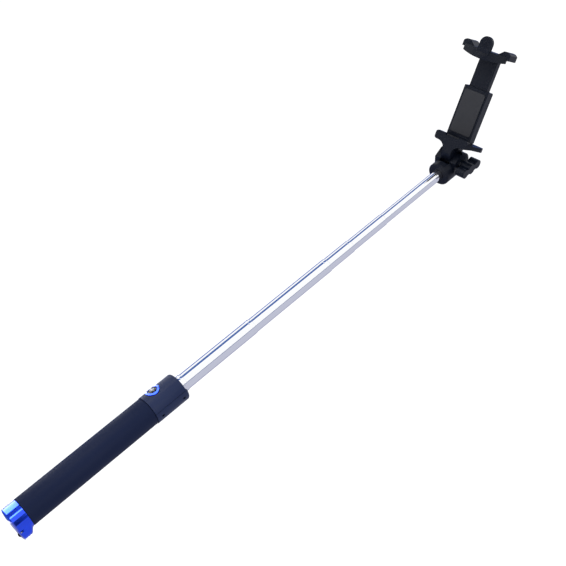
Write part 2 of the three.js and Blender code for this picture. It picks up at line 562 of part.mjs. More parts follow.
// Lower jaw: seat plate, front lip, T-shaped neck and the barrel that turns in the fork.
const LOWER_LIP_UP = 1.8;
const LOWER_LIP_DOWN = 6.4;
const NOTCH_HALF = 7.2;
const NECK_BACK = -7.6;
const SEAT_SCREW_X = STEM_HALF + 2;
const HOUSING_FOOT = SEAT_HEIGHT - plateFrom + GLUE;
function lowerJaw() {
  const flip = (body) => body.rotate([0, 180, 0]).translate([0, 0, SEAT_HEIGHT]);
  const plate = flip(prism(jawPlan(JAW_FRONT_HALF, lipFront, HOUSING_BACK), plateFrom, plateTo + 1.2));
  const lipLow = SEAT_HEIGHT - LOWER_LIP_DOWN;
  const lip = frontPrism(
    roundedRectangle(-JAW_FRONT_HALF, JAW_FRONT_HALF, lipLow, SEAT_HEIGHT + LOWER_LIP_UP, 2.4),
    lipFront, SLOT_FRONT);
  const rear = box(-JAW_BACK_HALF, JAW_BACK_HALF, -1, HOUSING_BACK - 3,
    SEAT_HEIGHT - plateTo, HOUSING_FOOT - GLUE);
  const under = SEAT_HEIGHT - plateTo;
  const wedge = wasm.Manifold.hull([lip, rear])
    .subtract(box(-FAR, FAR, -FAR, FAR, HOUSING_FOOT - GLUE, FAR + SEAT_HEIGHT))
    .subtract(box(-STEM_HALF - 5, STEM_HALF + 5, -3, FAR, 0, under - 1.2));
  const neckLow = SEAT_HEIGHT - 14;
  const flare = new THREE.Shape();
  const arm = JAW_FRONT_HALF - 5;
  flare.moveTo(-arm, lipLow + 3);
  flare.lineTo(-arm, lipLow);
  flare.quadraticCurveTo(-STEM_HALF, lipLow - 1, -STEM_HALF, neckLow);
  flare.lineTo(STEM_HALF, neckLow);
  flare.quadraticCurveTo(STEM_HALF, lipLow - 1, arm, lipLow);
  flare.lineTo(arm, lipLow + 3);
  const neck = frontPrism(flare, lipFront, NECK_BACK, 10);
  const side = new THREE.Shape();
  side.moveTo(lipFront, under);
  side.lineTo(lipFront, neckLow + 1);
  side.quadraticCurveTo(lipFront, neckLow - 5, -BARREL_RADIUS, -2);
  side.lineTo(0, -BARREL_RADIUS * 0.6);
  side.lineTo(BARREL_RADIUS - 0.3, 1);
  side.quadraticCurveTo(BARREL_RADIUS - 3, 9, HOUSING_BACK - 2, under);
  const stem = sidePrism(side, -STEM_HALF, STEM_HALF, 8);
  const screwHoles = [-1, 1].map((s) => rod(0.9 + GLUE, 0, FAR, 16).translate([s * SEAT_SCREW_X, 0, 0]));
  return plate.add(lip).add(wedge).add(neck).add(stem)
    .add(alongX(rod(BARREL_RADIUS, -STEM_HALF, STEM_HALF, 40)))
    .subtract(alongX(rod(BOLT_RADIUS + GLUE, -FAR, FAR, 24)))
    .subtract(box(-NOTCH_HALF, NOTCH_HALF, lipFront - 1, SLOT_FRONT + 1, SEAT_HEIGHT + 0.2, SEAT_HEIGHT + 5))
    .subtract(box(-FAR, FAR, SLOT_FRONT, HOUSING_BACK + 1, HOUSING_FOOT - GLUE, SEAT_HEIGHT + FAR))
    .subtract(screwHoles[0]).subtract(screwHoles[1]);
}
piece(clamp, "lower_jaw", BLACK_PLASTIC, lowerJaw());
const padHalf = 15.5;
const padFront = SLOT_FRONT + SEAM;
const padBack = SLOT_BACK - SEAM;
piece(clamp, "lower_pad", RUBBER,
  prism(roundedRectangle(-padHalf, padHalf, padFront, padBack, 2), SEAT_HEIGHT - PAD_THICK, SEAT_HEIGHT));

// The rail housing stands on the seat plate behind the phone; its back is closed by a screwed cover.
const CAVITY_HALF = SLIDER_HALF + FIT;
const COVER_THICK = 1.4;
const cavityFront = SLOT_BACK + HOUSING_WALL;
const coverFront = HOUSING_BACK - COVER_THICK;
const cavityFoot = HOUSING_FOOT + 2;
const SPRING_FOOT = cavityFoot + 2.6;
const SLIDER_FOOT = HOUSING_TOP - SLIDER_OVERLAP;
const SPRING_HEAD = HOUSING_TOP - 7;
const SCREW_PLACES = [[-11.3, 6], [11.3, 6], [-11.3, 44], [11.3, 44]];
const sideWall = (HOUSING_HALF + CAVITY_HALF) / 2;
const springAxis = (cavityFront + coverFront) / 2;
function railHousing() {
  let body = box(-HOUSING_HALF, HOUSING_HALF, SLOT_BACK, coverFront - GLUE, HOUSING_FOOT, HOUSING_TOP)
    .subtract(box(-CAVITY_HALF, CAVITY_HALF, cavityFront, FAR, cavityFoot, HOUSING_TOP + 1));
  for (const [x, z] of SCREW_PLACES)
    body = body.subtract(alongY(rod(0.8 + GLUE, cavityFront, FAR, 12))
      .translate([Math.sign(x) * sideWall, 0, HOUSING_FOOT + z]));
  for (const s of [-1, 1])
    body = body.subtract(
      rod(0.9 + GLUE, HOUSING_FOOT - 1, cavityFoot - 0.5, 16).translate([s * SEAT_SCREW_X, 0, 0]));
  return body.subtract(alongY(rod(0.8, cavityFront - 0.9, FAR, 12)).translate([0, 0, SPRING_FOOT]));
}
piece(clamp, "rail_housing", BLACK_PLASTIC, railHousing());
function backCover() {
  let body = frontPrism(roundedRectangle(-HOUSING_HALF, HOUSING_HALF, HOUSING_FOOT, HOUSING_TOP, 1.2),
    coverFront, HOUSING_BACK);
  for (const [x, z] of SCREW_PLACES)
    body = body.subtract(alongY(rod(0.8 + GLUE, 0, FAR, 12))
      .translate([Math.sign(x) * sideWall, 0, HOUSING_FOOT + z]));
  return body;
}
piece(clamp, "back_cover", BLACK_PLASTIC, backCover());
SCREW_PLACES.forEach(([x, z], i) => {
  const screw = rod(0.8, coverFront - 4, HOUSING_BACK + GLUE, 16).add(
    turned([[0, HOUSING_BACK + GLUE], [1.35, HOUSING_BACK + GLUE], [1.35, HOUSING_BACK + 0.5],
      [0.9, HOUSING_BACK + 0.9], [0, HOUSING_BACK + 0.95]], 20));
  piece(clamp, `cover_screw_${i + 1}`, STEEL,
    alongY(screw).translate([Math.sign(x) * sideWall, 0, HOUSING_FOOT + z]));
});
for (const [i, s] of [[1, -1], [2, 1]]) {
  const under = SEAT_HEIGHT - plateTo - 1.2 - GLUE;
  const screw = rod(0.9, under, cavityFoot - 0.7, 16).add(rod(1.7, under - 1, under, 20));
  piece(clamp, `seat_screw_${i}`, STEEL, screw.translate([s * SEAT_SCREW_X, 0, 0]));
}
piece(clamp, "back_pad", RUBBER, frontPrism(
  roundedRectangle(-11, 11, SEAT_HEIGHT + 4, HOUSING_TOP - 3, 2), SLOT_BACK - 0.7, SLOT_BACK - GLUE));

// Upper jaw: bowed lip with a thumb tab, top plate, and the slider that runs in the housing.
const TOP = SEAT_HEIGHT + REST_GAP;
const LIP_BOW = 3.6;
const UPPER_LIP_DOWN = 4.6;
const TAB = { half: 6.3, top: 15.8, thick: 3.2 };
function upperJaw() {
  const plan = jawPlan(UPPER_FRONT_HALF, lipFront, HOUSING_BACK - 1, UPPER_BACK_HALF);
  const plate = prism(plan, plateFrom, plateTo);
  const lobes = jawLobes(7.5, LOBE_REACH, lipFront + 1.2, SLOT_BACK + 3);
  const bow = new THREE.Shape();
  bow.moveTo(UPPER_FRONT_HALF, SLOT_FRONT);
  bow.lineTo(-UPPER_FRONT_HALF, SLOT_FRONT);
  bow.lineTo(-UPPER_FRONT_HALF, lipFront + 0.8);
  bow.quadraticCurveTo(0, lipFront - 2 * LIP_BOW, UPPER_FRONT_HALF, lipFront + 0.8);
  // The lip's lower edge rises towards its ends.
  const face = new THREE.Shape();
  face.moveTo(-UPPER_FRONT_HALF, plateTo);
  face.lineTo(-UPPER_FRONT_HALF, -UPPER_LIP_DOWN + 3);
  face.quadraticCurveTo(0, -UPPER_LIP_DOWN - 2.6, UPPER_FRONT_HALF, -UPPER_LIP_DOWN + 3);
  face.lineTo(UPPER_FRONT_HALF, plateTo);
  const lip = prism(bow, -UPPER_LIP_DOWN - 3, plateTo, 10).intersect(frontPrism(face, -FAR, 0, 10));
  const tabShape = new THREE.Shape();
  tabShape.moveTo(-TAB.half, plateFrom);
  tabShape.lineTo(TAB.half, plateFrom);
  tabShape.absarc(0, TAB.top - TAB.half, TAB.half, 0, Math.PI);
  const tabFront = lipFront - LIP_BOW;
  const tab = frontPrism(tabShape, tabFront, tabFront + TAB.thick, 12);
  const sliderFront = cavityFront + FIT;
  const sliderBack = coverFront - FIT;
  const slotTop = SPRING_HEAD + 3 - TOP;
  const foot = SLIDER_FOOT - TOP;
  const slider = box(-SLIDER_HALF, SLIDER_HALF, sliderFront, sliderBack, foot, plateFrom + 1)
    .subtract(box(-SPRING_RADIUS - 0.7, SPRING_RADIUS + 0.7, -FAR, FAR, foot - 1, slotTop));
  return plate.add(lobes).add(lip).add(tab).add(slider)
    .subtract(box(-FAR, FAR, SLOT_FRONT, cavityFront, -3, plateFrom))
    .subtract(alongX(rod(0.8 + GLUE, -SLIDER_HALF + 1, SLIDER_HALF - 1, 12))
      .translate([0, springAxis, SPRING_HEAD - TOP]));
}
const upper = new THREE.Group();
piece(upper, "upper_jaw", BLACK_PLASTIC, upperJaw());
piece(upper, "upper_pad", RUBBER,
  prism(roundedRectangle(-padHalf, padHalf, padFront, padBack, 2), 0, PAD_THICK));
piece(upper, "spring_pin_upper", STEEL,
  alongX(rod(0.8, -SLIDER_HALF + 1.2, SLIDER_HALF - 1.2, 12)).translate([0, springAxis, SPRING_HEAD - TOP]));
upper.position.z = TOP;
clamp.add(upper);
piece(clamp, "spring_pin_lower", STEEL,
  alongY(rod(0.75, cavityFront - 0.8, coverFront - 0.2, 12)).translate([0, 0, SPRING_FOOT]));

// The spring pulls the upper jaw down. It stands between the two pins, clear of both.
class Coil extends THREE.Curve {
  getPoint(t, target = new THREE.Vector3()) {
    const a = t * SPRING_TURNS * 2 * Math.PI;
    const r = SPRING_RADIUS - SPRING_WIRE;
    const low = SPRING_FOOT + 0.75 + SPRING_WIRE + 0.2;
    const high = SPRING_HEAD - 0.8 - SPRING_WIRE - 0.2;
    return target.set(r * Math.cos(a), springAxis + r * Math.sin(a), low + t * (high - low));
  }
}
piece(clamp, "clamp_spring", STEEL, swept(new Coil(), SPRING_WIRE, SPRING_TURNS * 8, 5));

// ---------------------------------------------------------------- assembly
stick.add(handle, cap);
handle.rotation.z = BUTTON_TURN;
cap.rotation.z = CAP_TURN;
const slopeGroup = new THREE.Group();
slopeGroup.rotation.x = SLOPE - Math.PI / 2;
stick.position.z = -HOLD;
slopeGroup.add(stick);
const along = PIVOT.z - HOLD;
clamp.position.set(
  0,
  along * Math.cos(SLOPE) - PIVOT_RISE * Math.sin(SLOPE),
  along * Math.sin(SLOPE) + PIVOT_RISE * Math.cos(SLOPE),
);
object.add(slopeGroup, clamp);

export default object;
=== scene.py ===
# A telescopic selfie stick: the looks of its plated tubes, soft grip and moulded phone clamp.
# Everything is in metres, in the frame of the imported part. A value in millimetres says so.
import json
import math

import bmesh
import bpy
import numpy as np
from mathutils import Matrix, Vector


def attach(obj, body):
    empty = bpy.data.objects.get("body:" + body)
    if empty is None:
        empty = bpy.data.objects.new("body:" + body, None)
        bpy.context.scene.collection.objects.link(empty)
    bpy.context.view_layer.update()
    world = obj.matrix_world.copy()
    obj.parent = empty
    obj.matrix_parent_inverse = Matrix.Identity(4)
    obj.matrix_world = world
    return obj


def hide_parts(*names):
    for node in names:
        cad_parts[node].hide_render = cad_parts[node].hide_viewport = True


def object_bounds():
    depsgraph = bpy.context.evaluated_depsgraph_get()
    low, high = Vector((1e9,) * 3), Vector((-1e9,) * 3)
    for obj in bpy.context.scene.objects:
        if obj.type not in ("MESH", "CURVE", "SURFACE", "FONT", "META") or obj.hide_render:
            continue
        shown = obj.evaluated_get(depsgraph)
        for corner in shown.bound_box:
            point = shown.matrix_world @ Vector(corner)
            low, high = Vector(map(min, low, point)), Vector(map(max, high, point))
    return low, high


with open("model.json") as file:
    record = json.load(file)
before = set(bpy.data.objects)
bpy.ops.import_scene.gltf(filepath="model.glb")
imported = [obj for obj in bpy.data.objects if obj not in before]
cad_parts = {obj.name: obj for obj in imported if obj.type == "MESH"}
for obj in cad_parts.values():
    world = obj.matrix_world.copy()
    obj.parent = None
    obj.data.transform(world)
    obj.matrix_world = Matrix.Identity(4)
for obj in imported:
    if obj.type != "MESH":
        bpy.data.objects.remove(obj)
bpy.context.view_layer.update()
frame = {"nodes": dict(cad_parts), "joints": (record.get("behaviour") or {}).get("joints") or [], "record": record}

MM = 0.001
FULL_TURN = 2 * math.pi
nodes = frame["nodes"]
body_of_node = {
    node: body
    for body, members in frame["record"]["behaviour"]["bodies"].items()
    for node in members
}
slot_of_node = {row["node"]: row["material_slot"] for row in frame["record"]["subparts"]}
joints = {joint["name"]: joint for joint in frame["joints"]}
put_in_scene = bpy.context.scene.collection.objects.link

# The stick's own directions: along it, across it level, and out of its upper side.
ALONG = np.array(joints["mast_turn"]["axis"], float)
ACROSS = np.array([1.0, 0.0, 0.0])
UP = np.cross(ACROSS, ALONG)
HOLD = 70 * MM  # from the end of the cap to the origin


# ---------------------------------------------------------------- materials
# Each grain is drawn coarser than the real one, which would be too fine to show.
CLOUD_SIZE = 22 * MM  # how far apart the soft drifts of roughness and shade are
CLOUD_LOW = 0.3  # nearly all of such a noise lies between these two
CLOUD_HIGH = 0.7
LEAST_ROUGHNESS = 0.01
BUMP_STRENGTH = 0.6


def linear(hex_colour):
    """An sRGB hex colour such as "#1c2233" as linear RGBA."""
    parts = [int(hex_colour[i : i + 2], 16) / 255 for i in (1, 3, 5)]
    return [p / 12.92 if p <= 0.04045 else ((p + 0.055) / 1.055) ** 2.4 for p in parts] + [1.0]


def add(tree, kind, links=(), **settings):
    """A node with its attributes and input values, and links given as (input, node, output)."""
    node = tree.nodes.new(kind)
    for name, value in settings.items():
        if hasattr(node, name):
            setattr(node, name, value)
        else:
            node.inputs[name.replace("_", " ")].default_value = value
    for socket, source, output in links:
        tree.links.new(source.outputs[output], node.inputs[socket])
    return node


def finish_of(name, colour, roughness, spread, grain_mm, bump_mm, metallic=0.0, shade=None, **shader):
    """A finish with a fine grain of grain_mm that stands bump_mm proud, and a roughness that drifts by
    spread in soft clouds. shade is a second colour, which the same clouds mix in."""
    material = bpy.data.materials.new(name)
    material.use_nodes = True
    tree = material.node_tree
    tree.nodes.clear()
    own_space = add(tree, "ShaderNodeTexCoord")
    grain = add(tree, "ShaderNodeTexNoise", [("Vector", own_space, "Object")],
                Scale=1 / (grain_mm * MM), Detail=4.0)
    cloud = add(tree, "ShaderNodeTexNoise", [("Vector", own_space, "Object")],
                Scale=1 / CLOUD_SIZE, Detail=3.0)
    rough = add(tree, "ShaderNodeMapRange", [("Value", cloud, "Fac")],
                From_Min=CLOUD_LOW, From_Max=CLOUD_HIGH,
                To_Min=max(roughness - spread, LEAST_ROUGHNESS), To_Max=roughness + spread)
    bump = add(tree, "ShaderNodeBump", [("Height", grain, "Fac")],
               Distance=bump_mm * MM, Strength=BUMP_STRENGTH)
    surface = add(tree, "ShaderNodeBsdfPrincipled",
                  [("Roughness", rough, "Result"), ("Normal", bump, "Normal")],
                  Base_Color=linear(colour), Metallic=metallic, **shader)
    if shade:
        mixed = add(tree, "ShaderNodeMix", [("Factor", cloud, "Fac")], data_type="RGBA",
                    A=linear(colour), B=linear(shade))
        tree.links.new(mixed.outputs["Result"], surface.inputs["Base Color"])
    add(tree, "ShaderNodeOutputMaterial", [("Surface", surface, "BSDF")])
    return material


# Drawn steel tube, nickel and chrome plated: a mirror with only faint polishing haze.
plated_tube = finish_of("chrome_plated_drawn_steel", "#f2f3f6", metallic=1.0,
                        roughness=0.05, spread=0.015, grain_mm=0.6, bump_mm=0.0004)
# Chrome under a clear blue lacquer: deep saturated blue mirror.
blue_plating = finish_of("blue_lacquered_chrome", "#2a55ff", metallic=1.0, shade="#2450fa",
                         roughness=0.09, spread=0.02, grain_mm=0.8, bump_mm=0.0006,
                         Coat_Weight=0.5, Coat_Roughness=0.04)
# Soft-touch paint on a tube: velvety, near black with a navy cast, slightly grained.
soft_touch = finish_of("soft_touch_paint", "#0b1530", shade="#0d1834",
                       roughness=0.46, spread=0.05, grain_mm=0.5, bump_mm=0.02, Specular_IOR_Level=0.1)
# Moulded ABS with a fine eroded texture.
collar_plastic = finish_of("moulded_abs_collar", "#101c3c", shade="#122042",
                           roughness=0.38, spread=0.05, grain_mm=0.4, bump_mm=0.015,
                           Specular_IOR_Level=0.22)
# Glass-filled nylon, moulded in a spark-eroded tool: matt with a soft shine on edges.
clamp_plastic = finish_of("moulded_nylon_clamp", "#060a14", shade="#080d19",
                          roughness=0.38, spread=0.06, grain_mm=0.45, bump_mm=0.02,
                          Specular_IOR_Level=0.18)
# Polished black acrylic.
button_black = finish_of("polished_black_acrylic", "#06070a",
                         roughness=0.08, spread=0.02, grain_mm=1.0, bump_mm=0.001,
                         Coat_Weight=0.8, Coat_Roughness=0.03)
# Moulded silicone rubber: dull and slightly dusty.
pad_rubber = finish_of("moulded_silicone_rubber", "#131419", shade="#1b1c22",
                       roughness=0.75, spread=0.08, grain_mm=0.6, bump_mm=0.05)
# Black lacquer over steel wire: thin and glossy.
black_lacquer = finish_of("black_lacquered_wire", "#0a0c16",
                          roughness=0.18, spread=0.04, grain_mm=0.5, bump_mm=0.002)
# Natural nylon as turned: milky and waxy.
natural_nylon = finish_of("natural_nylon", "#e4dfce", shade="#d8d2bf",
                          roughness=0.45, spread=0.06, grain_mm=0.7, bump_mm=0.02)
# Zinc-plated steel: cool grey with soft cloudy spangle.
zinc_steel = finish_of("zinc_plated_steel", "#b3b6bb", metallic=1.0, shade="#9a9ea6",
                       roughness=0.28, spread=0.08, grain_mm=0.9, bump_mm=0.01)
# Free-machining brass, turned.
turned_brass = finish_of("turned_brass", "#b8923c", metallic=1.0, shade="#a58030",
                         roughness=0.3, spread=0.06, grain_mm=0.4, bump_mm=0.01)
# Solder mask over glass-epoxy board.
solder_mask = finish_of("solder_mask_board", "#1d5a38", shade="#174a2e",
                        roughness=0.35, spread=0.06, grain_mm=0.8, bump_mm=0.02)
# Heat-shrunk PVC sleeve.
shrink_sleeve = finish_of("shrunk_pvc_sleeve", "#2f6fb0", shade="#2a64a0",
                          roughness=0.25, spread=0.05, grain_mm=1.5, bump_mm=0.02)
# PVC wire insulation.
red_insulation = finish_of("pvc_wire_insulation", "#b01c1c", shade="#9a1616",
                           roughness=0.4, spread=0.05, grain_mm=0.6, bump_mm=0.02)
# Printed ink: pale grey.
pale_ink = finish_of("pale_printed_ink", "#c9ccd6",
                     roughness=0.5, spread=0.04, grain_mm=0.4, bump_mm=0.005)

FINISH_OF_SLOT = {
    "blue_chrome": blue_plating, "tube_chrome": plated_tube, "soft_touch": soft_touch,
    "black_plastic": clamp_plastic, "gloss_black": button_black, "rubber": pad_rubber,
    "nylon": natural_nylon, "steel": zinc_steel, "brass": turned_brass,
    "black_steel": black_lacquer, "board_green": solder_mask, "cell_wrap": shrink_sleeve,
    "lead_red": red_insulation,
}
for node, cad in nodes.items():
    cad.data.materials.clear()
    cad.data.materials.append(FINISH_OF_SLOT[slot_of_node[node]])


# ---------------------------------------------------------------- making pieces
SMOOTH_BELOW = math.radians(35)  # an edge with less of a bend is shaded smooth
ROUND_ABOVE = math.radians(40)  # an edge with more of a bend is rounded
FLAT_BELOW = math.radians(1)  # faces with less of a bend between them are one flat
SAME_POINT = 2e-6


def place(u, radius, turn):
    """The point at station u along the stick, at that radius, turned from ACROSS towards UP:
    u ALONG + radius (cos turn ACROSS + sin turn UP)."""
    u, radius, turn = np.broadcast_arrays(u, radius, turn)
    side = np.cos(turn)[..., None] * ACROSS + np.sin(turn)[..., None] * UP
    return u[..., None] * ALONG + radius[..., None] * side


def corners(node):
    """A CAD node's vertices as an array of points."""
    flat = np.empty(len(nodes[node].data.vertices) * 3)
    nodes[node].data.vertices.foreach_get("co", flat)
    return flat.reshape(-1, 3)


def span(node):
    """First and last station of a node along the stick, and its largest radius."""
    points = corners(node)
    along = points @ ALONG
    radius = np.linalg.norm(points - along[:, None] * ALONG, axis=1)
    return along.min(), along.max(), radius.max()


def mesh_of(name, points, faces, closed=True):
    """A mesh over an array of points. A closed one has its faces turned outward."""
    mesh = bpy.data.meshes.new(name)
    mesh.from_pydata(points.reshape(-1, 3).tolist(), [], faces)
    if closed:
        shell = bmesh.new()
        shell.from_mesh(mesh)
        bmesh.ops.recalc_face_normals(shell, faces=shell.faces)
        shell.to_mesh(mesh)
        shell.free()
    return mesh


def grid_mesh(name, points):
    """A skin over a grid of points that closes on itself both ways."""
    rows, columns = points.shape[:2]
    index = np.arange(rows * columns).reshape(rows, columns)
    next_row = np.roll(index, -1, 0)
    next_column = np.roll(index, -1, 1)
    both = np.roll(next_row, -1, 1)
    faces = np.stack([index, next_column, both, next_row], -1).reshape(-1, 4)
    return mesh_of(name, points, faces.tolist())


def finished(name, mesh, material, node, replaces=True):
    """Puts a mesh in the scene as a piece that rides with a node and, as a rule, takes its place."""
    mesh.materials.clear()
    mesh.materials.append(material)
    mesh.polygons.foreach_set("use_smooth", np.ones(len(mesh.polygons), bool))
    mesh.set_sharp_from_angle(angle=SMOOTH_BELOW)
    piece = bpy.data.objects.new(name, mesh)
    put_in_scene(piece)
    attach(piece, body_of_node[node])
    if replaces:
        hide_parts(node)
    return piece


def turned(name, profile, material, node, sides=128):
    """A closed profile of (station, radius) pairs, carried round the stick's axis."""
    profile = np.array(profile, float)
    turn = np.linspace(0, FULL_TURN, sides, endpoint=False)
    points = place(profile[:, :1], profile[:, 1:], turn[None, :])
    finished(name, grid_mesh(name, points), material, node)


def moulded(node, material, edge_mm, segments=2):
    """A copy of a CAD node, merged, with its flats made whole and its edges rounded."""
    mesh = nodes[node].data.copy()
    shell = bmesh.new()
    shell.from_mesh(mesh)
    bmesh.ops.remove_doubles(shell, verts=shell.verts, dist=SAME_POINT)
    bmesh.ops.dissolve_limit(shell, angle_limit=FLAT_BELOW, verts=shell.verts, edges=shell.edges)
    shell.to_mesh(mesh)
    shell.free()
    rounding = finished(node + "_moulded", mesh, material, node).modifiers.new("rounded_edges", "BEVEL")
    rounding.width = edge_mm * MM
    rounding.segments = segments
    rounding.limit_method = "ANGLE"
    rounding.angle_limit = ROUND_ABOVE
    rounding.use_clamp_overlap = True
    rounding.harden_normals = True


# ---------------------------------------------------------------- tubes
TUBES = 6
WALL = 0.25 * MM
LIP = 0.35 * MM  # the radius that a mouth is rolled in over
LIP_STEPS = 7
BEFORE_LIP = 0.3 * MM
CRIMP = ((-0.55, 0), (-0.25, 0), (0, 0.12), (0.25, 0), (0.55, 0))  # station and depth, in millimetres
ONE_CRIMP = (3.4,)  # how far behind the mouth, in millimetres
TWO_CRIMPS = (5.2, 2.6)
# Inside the mouth the wall swells a little, then runs straight: how far in, and how much it swells.
SWELL_AT = 0.6 * MM
SWELL = 0.08 * MM
STRAIGHT_FROM = 0.9 * MM


def tube(k):
    """A drawn tube. Its mouth is rolled in over a quarter turn of radius LIP, with a shallow crimp
    behind it, or two on the widest. The thinnest has a plain end, because the fork head hides it."""
    foot, mouth, radius = span(f"tube_{k}")
    outer = [(foot, radius)]
    if k == TUBES:
        outer += [(mouth, radius)]
    else:
        for back in TWO_CRIMPS if k == 1 else ONE_CRIMP:
            at = mouth - back * MM
            outer += [(at + along * MM, radius - deep * MM) for along, deep in CRIMP]
        outer += [(mouth - LIP - BEFORE_LIP, radius)]
        outer += [(mouth - LIP + LIP * math.sin(a), radius - LIP + LIP * math.cos(a))
                  for a in np.linspace(0, FULL_TURN / 4, LIP_STEPS)]
    bore = [(mouth, radius - LIP), (mouth - SWELL_AT, radius - WALL - SWELL),
            (mouth - STRAIGHT_FROM, radius - WALL), (foot, radius - WALL)]
    turned(f"tube_{k}_plated", outer + bore, plated_tube, f"tube_{k}")


for k in range(1, TUBES + 1):
    tube(k)

# ---------------------------------------------------------------- handle
# Grip: a slightly tapered sleeve with a softly rounded edge at both ends.
GRIP_TAPER = 0.15 * MM
GRIP_WALL = 0.95 * MM
EDGE = 0.35 * MM  # how far the rounding reaches, along and inward
EDGE_BEND = 0.1 * MM  # where the rounding bends most
EDGE_BEND_DROP = 0.3 * EDGE
start, end, widest = span("grip_sleeve")
slim = widest - GRIP_TAPER
turned("grip_soft_touch", [
    (start, widest - GRIP_WALL), (start, slim - EDGE), (start + EDGE_BEND, slim - EDGE_BEND_DROP),
    (start + EDGE, slim), (end - EDGE, widest), (end - EDGE_BEND, widest - EDGE_BEND_DROP),
    (end, widest - EDGE), (end, widest - GRIP_WALL)], soft_touch, "grip_sleeve", sides=160)

for shell in ("collar_upper_shell", "collar_lower_shell"):
    moulded(shell, collar_plastic, edge_mm=0.15)

# Cap and bezel are plated over; the button is polished.
moulded("end_cap", blue_plating, edge_mm=0.25, segments=3)
moulded("button_bezel", blue_plating, edge_mm=0.3, segments=3)
moulded("shutter_button", button_black, edge_mm=0.15)

RING_WIRE = 0.5 * MM
RING_SIDES = 96
WIRE_SIDES = 24


def wire_ring(node, material):
    """A torus, its circle read off the CAD ring: middle + (reach + wire cos v) (cos u flat + sin u wide)
    + wire sin v (flat x wide), over u round the ring and v round the wire."""
    points = corners(node)
    middle = points.mean(0)
    flat, wide, _ = np.linalg.svd(points - middle, full_matrices=False)[2]
    reach = np.abs((points - middle) @ flat).max() - RING_WIRE
    u = np.linspace(0, FULL_TURN, RING_SIDES, endpoint=False)[:, None, None]
    v = np.linspace(0, FULL_TURN, WIRE_SIDES, endpoint=False)[None, :, None]
    outward = np.cos(u) * flat + np.sin(u) * wide
    radius = reach + RING_WIRE * np.cos(v)
    points = middle + radius * outward + RING_WIRE * np.sin(v) * np.cross(flat, wide)
    finished(node + "_wire", grid_mesh(node + "_wire", points), material, node)


wire_ring("lanyard_ring", black_lacquer)

# The button's own directions: out of the collar, along the stick, and round the collar.
button = corners("shutter_button")
button_middle = ((button @ ALONG).min() + (button @ ALONG).max()) / 2
OUT = np.mean(button - (button @ ALONG)[:, None] * ALONG, axis=0)
OUT /= np.linalg.norm(OUT)
ROUND = np.cross(ALONG, OUT)
button_top = (button @ OUT).max()

SIGN_STEPS = 72
SIGN_PROUD_MM = 0.015  # over the button's top
SIGN_SUNK_MM = -0.3  # its foot, well inside the button


def printed_outline(name, across_mm, along_mm, line_mm, power):
    """A raised printed line with a rectangular section. It follows a superellipse, whose radius is its
    half width times (|cos t|^power + |sin t|^power)^(-1/power)."""
    turn = np.linspace(0, FULL_TURN, SIGN_STEPS, endpoint=False)
    stretch = (np.abs(np.cos(turn)) ** power + np.abs(np.sin(turn)) ** power) ** (-1 / power)
    inset = np.array([0, 0, 1, 1])[:, None] * line_mm
    height = np.array([SIGN_SUNK_MM, SIGN_PROUD_MM, SIGN_PROUD_MM, SIGN_SUNK_MM])[:, None] * MM + button_top
    x = (across_mm / 2 - inset) * MM * stretch * np.cos(turn)
    y = (along_mm / 2 - inset) * MM * stretch * np.sin(turn)
    points = (button_middle + y)[..., None] * ALONG + x[..., None] * ROUND + height[..., None] * OUT
    finished(name, grid_mesh(name, points), pale_ink, "shutter_button", replaces=False)


# A plain camera sign: a rounded body with a round lens in it.
printed_outline("camera_sign_body", across_mm=2.5, along_mm=3.5, line_mm=0.32, power=4)
printed_outline("camera_sign_lens", across_mm=1.3, along_mm=1.3, line_mm=0.32, power=2)

# ---------------------------------------------------------------- screws, clamp and head
for node in ("pivot_bolt", "set_screw", "lanyard_pin", "knob_washer", "seat_screw_1", "seat_screw_2",
             "cover_screw_1", "cover_screw_2", "cover_screw_3", "cover_screw_4"):
    moulded(node, zinc_steel, edge_mm=0.12)

for node, edge in (("fork_head", 0.6), ("wing_knob", 0.9), ("lower_jaw", 0.7), ("upper_jaw", 0.7),
                   ("rail_housing", 0.4), ("back_cover", 0.3)):
    moulded(node, clamp_plastic, edge_mm=edge, segments=3)
for node in ("lower_pad", "upper_pad", "back_pad"):
    moulded(node, pad_rubber, edge_mm=0.25)

# Thumb ribs, in millimetres.
TAB_RADIUS = 6.3  # of the tab's round head, at the top of the upper jaw
RIBS = 8
FIRST_RIB = 1.6  # below the top of the tab
RIB_PITCH = 1.15
RIB_SHARE = 0.78  # of the tab's width that a rib takes
RIB_PROUD = 0.22
RIB_TALL = 0.28
RIB_STATIONS = 25
RIB_SIDES = 16
END_TAPER = 0.98  # 1 would draw a rib's ends to a point
TAB_FACE_WITHIN = 6  # below the top of the tab, where its face stands furthest out


def thumb_rib(number, centre, half):
    """A level rib, an ellipse that thins towards both ends: (half s, -swell RIB_PROUD cos t,
    swell RIB_TALL sin t) with swell = sqrt(1 - END_TAPER s^2), over s from -1 to 1 and t round it."""
    s = np.linspace(-1, 1, RIB_STATIONS)[:, None]
    t = np.linspace(0, FULL_TURN, RIB_SIDES, endpoint=False)[None, :]
    swell = np.sqrt(1 - s**2 * END_TAPER)
    shape = np.broadcast_arrays(half * s, -RIB_PROUD * swell * np.cos(t), RIB_TALL * swell * np.sin(t))
    points = centre + np.stack(shape, -1) * MM
    index = np.arange(RIB_STATIONS * RIB_SIDES).reshape(RIB_STATIONS, RIB_SIDES)
    beside = np.roll(index, -1, 1)
    side = np.stack([index[:-1], index[1:], beside[1:], beside[:-1]], -1).reshape(-1, 4)
    ends = [index[0].tolist(), index[-1].tolist()[::-1]]
    name = f"thumb_rib_{number}"
    finished(name, mesh_of(name, points, side.tolist() + ends), clamp_plastic, "upper_jaw", replaces=False)


